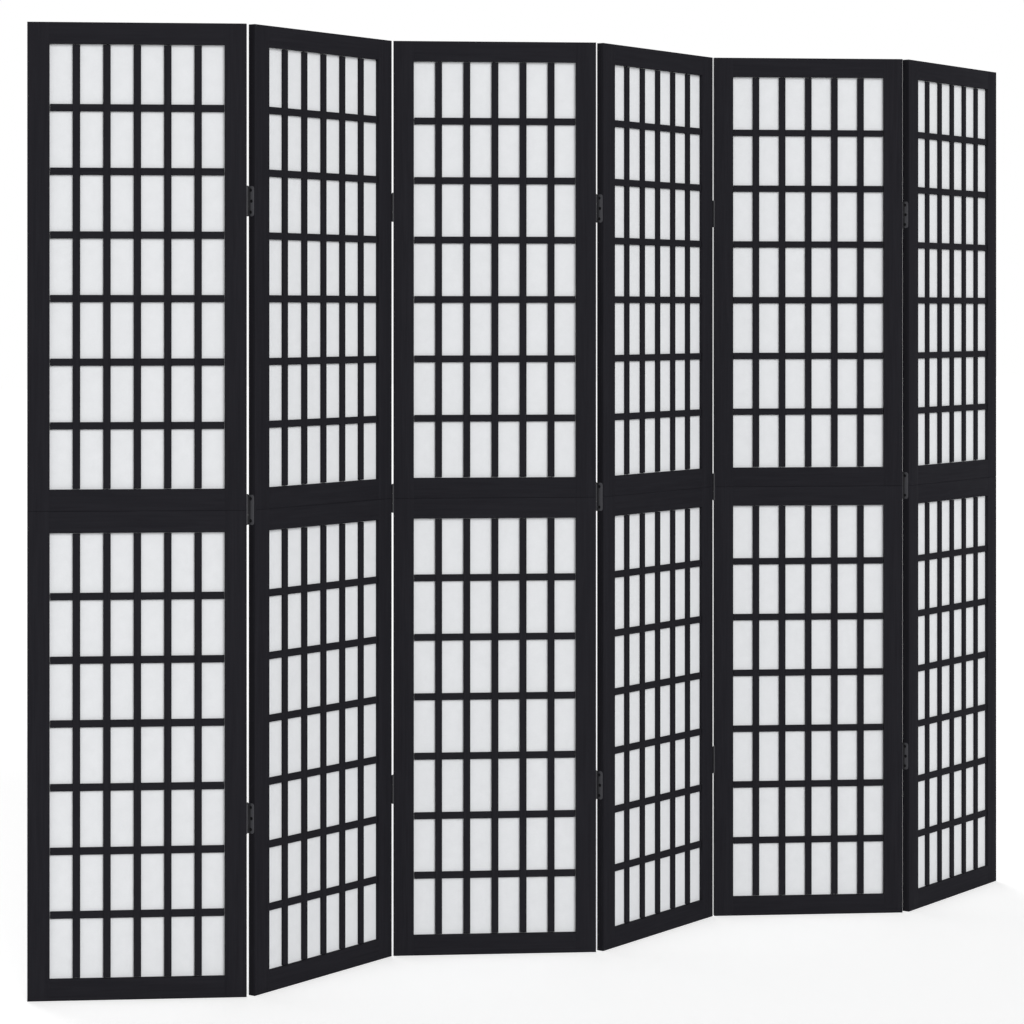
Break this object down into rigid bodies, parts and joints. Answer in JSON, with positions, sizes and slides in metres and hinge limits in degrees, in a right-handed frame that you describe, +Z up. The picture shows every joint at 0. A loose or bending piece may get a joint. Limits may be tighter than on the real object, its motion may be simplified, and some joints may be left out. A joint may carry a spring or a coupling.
{
  "type": "folding room divider",
  "caption": "Free-standing folding screen: hinged leaves of stacked black wooden frames with a square lattice over white paper sheets.",
  "frame": {"origin": "on the floor under the middle of the standing screen's box", "axes": "+X along the row of leaves, +Y towards the back, +Z up"},
  "size_m": [2.2332, 0.1832, 1.8],
  "materials": {
    "black_wood": "black satin paint over fine-grained softwood",
    "dowel_wood": "plain turned hardwood",
    "paper": "matt white fibre paper",
    "hinge_metal": "dark satin coating on pressed steel"
  },
  "bodies": {
    "leaf_1": {"leaf_1_left_stiles": "black_wood", "leaf_1_right_stiles": "black_wood", "leaf_1_rails": "black_wood", "leaf_1_front_lattices": "black_wood", "leaf_1_back_lattices": "black_wood", "leaf_1_lower_sheet": "paper", "leaf_1_upper_sheet": "paper", "leaf_1_joining_dowels": "dowel_wood", "leaf_1_hinge_plates": "hinge_metal", "fold_1_hinge_pins": "hinge_metal"},
    "leaf_2": {"leaf_2_left_stiles": "black_wood", "leaf_2_right_stiles": "black_wood", "leaf_2_rails": "black_wood", "leaf_2_front_lattices": "black_wood", "leaf_2_back_lattices": "black_wood", "leaf_2_lower_sheet": "paper", "leaf_2_upper_sheet": "paper", "leaf_2_joining_dowels": "dowel_wood", "leaf_2_hinge_plates": "hinge_metal", "fold_2_hinge_pins": "hinge_metal"},
    "leaf_3": {"leaf_3_left_stiles": "black_wood", "leaf_3_right_stiles": "black_wood", "leaf_3_rails": "black_wood", "leaf_3_front_lattices": "black_wood", "leaf_3_back_lattices": "black_wood", "leaf_3_lower_sheet": "paper", "leaf_3_upper_sheet": "paper", "leaf_3_joining_dowels": "dowel_wood", "leaf_3_hinge_plates": "hinge_metal", "fold_3_hinge_pins": "hinge_metal"},
    "leaf_4": {"leaf_4_left_stiles": "black_wood", "leaf_4_right_stiles": "black_wood", "leaf_4_rails": "black_wood", "leaf_4_front_lattices": "black_wood", "leaf_4_back_lattices": "black_wood", "leaf_4_lower_sheet": "paper", "leaf_4_upper_sheet": "paper", "leaf_4_joining_dowels": "dowel_wood", "leaf_4_hinge_plates": "hinge_metal", "fold_4_hinge_pins": "hinge_metal"},
    "leaf_5": {"leaf_5_left_stiles": "black_wood", "leaf_5_right_stiles": "black_wood", "leaf_5_rails": "black_wood", "leaf_5_front_lattices": "black_wood", "leaf_5_back_lattices": "black_wood", "leaf_5_lower_sheet": "paper", "leaf_5_upper_sheet": "paper", "leaf_5_joining_dowels": "dowel_wood", "leaf_5_hinge_plates": "hinge_metal", "fold_5_hinge_pins": "hinge_metal"},
    "leaf_6": {"leaf_6_left_stiles": "black_wood", "leaf_6_right_stiles": "black_wood", "leaf_6_rails": "black_wood", "leaf_6_front_lattices": "black_wood", "leaf_6_back_lattices": "black_wood", "leaf_6_lower_sheet": "paper", "leaf_6_upper_sheet": "paper", "leaf_6_joining_dowels": "dowel_wood", "leaf_6_hinge_plates": "hinge_metal"}
  },
  "joints": [
    {"name": "fold_1", "type": "hinge", "parent": "leaf_1", "child": "leaf_2", "pos_m": [-0.74572, -0.07557, 0], "axis": [0, 0, 1], "range_deg": [-50, 130]},
    {"name": "fold_2", "type": "hinge", "parent": "leaf_2", "child": "leaf_3", "pos_m": [-0.37286, 0.07557, 0], "axis": [0, 0, -1], "range_deg": [-50, 130]},
    {"name": "fold_3", "type": "hinge", "parent": "leaf_3", "child": "leaf_4", "pos_m": [0, -0.07557, 0], "axis": [0, 0, 1], "range_deg": [-50, 130]},
    {"name": "fold_4", "type": "hinge", "parent": "leaf_4", "child": "leaf_5", "pos_m": [0.37286, 0.07557, 0], "axis": [0, 0, -1], "range_deg": [-50, 130]},
    {"name": "fold_5", "type": "hinge", "parent": "leaf_5", "child": "leaf_6", "pos_m": [0.74572, -0.07557, 0], "axis": [0, 0, 1], "range_deg": [-50, 130]}
  ]
}
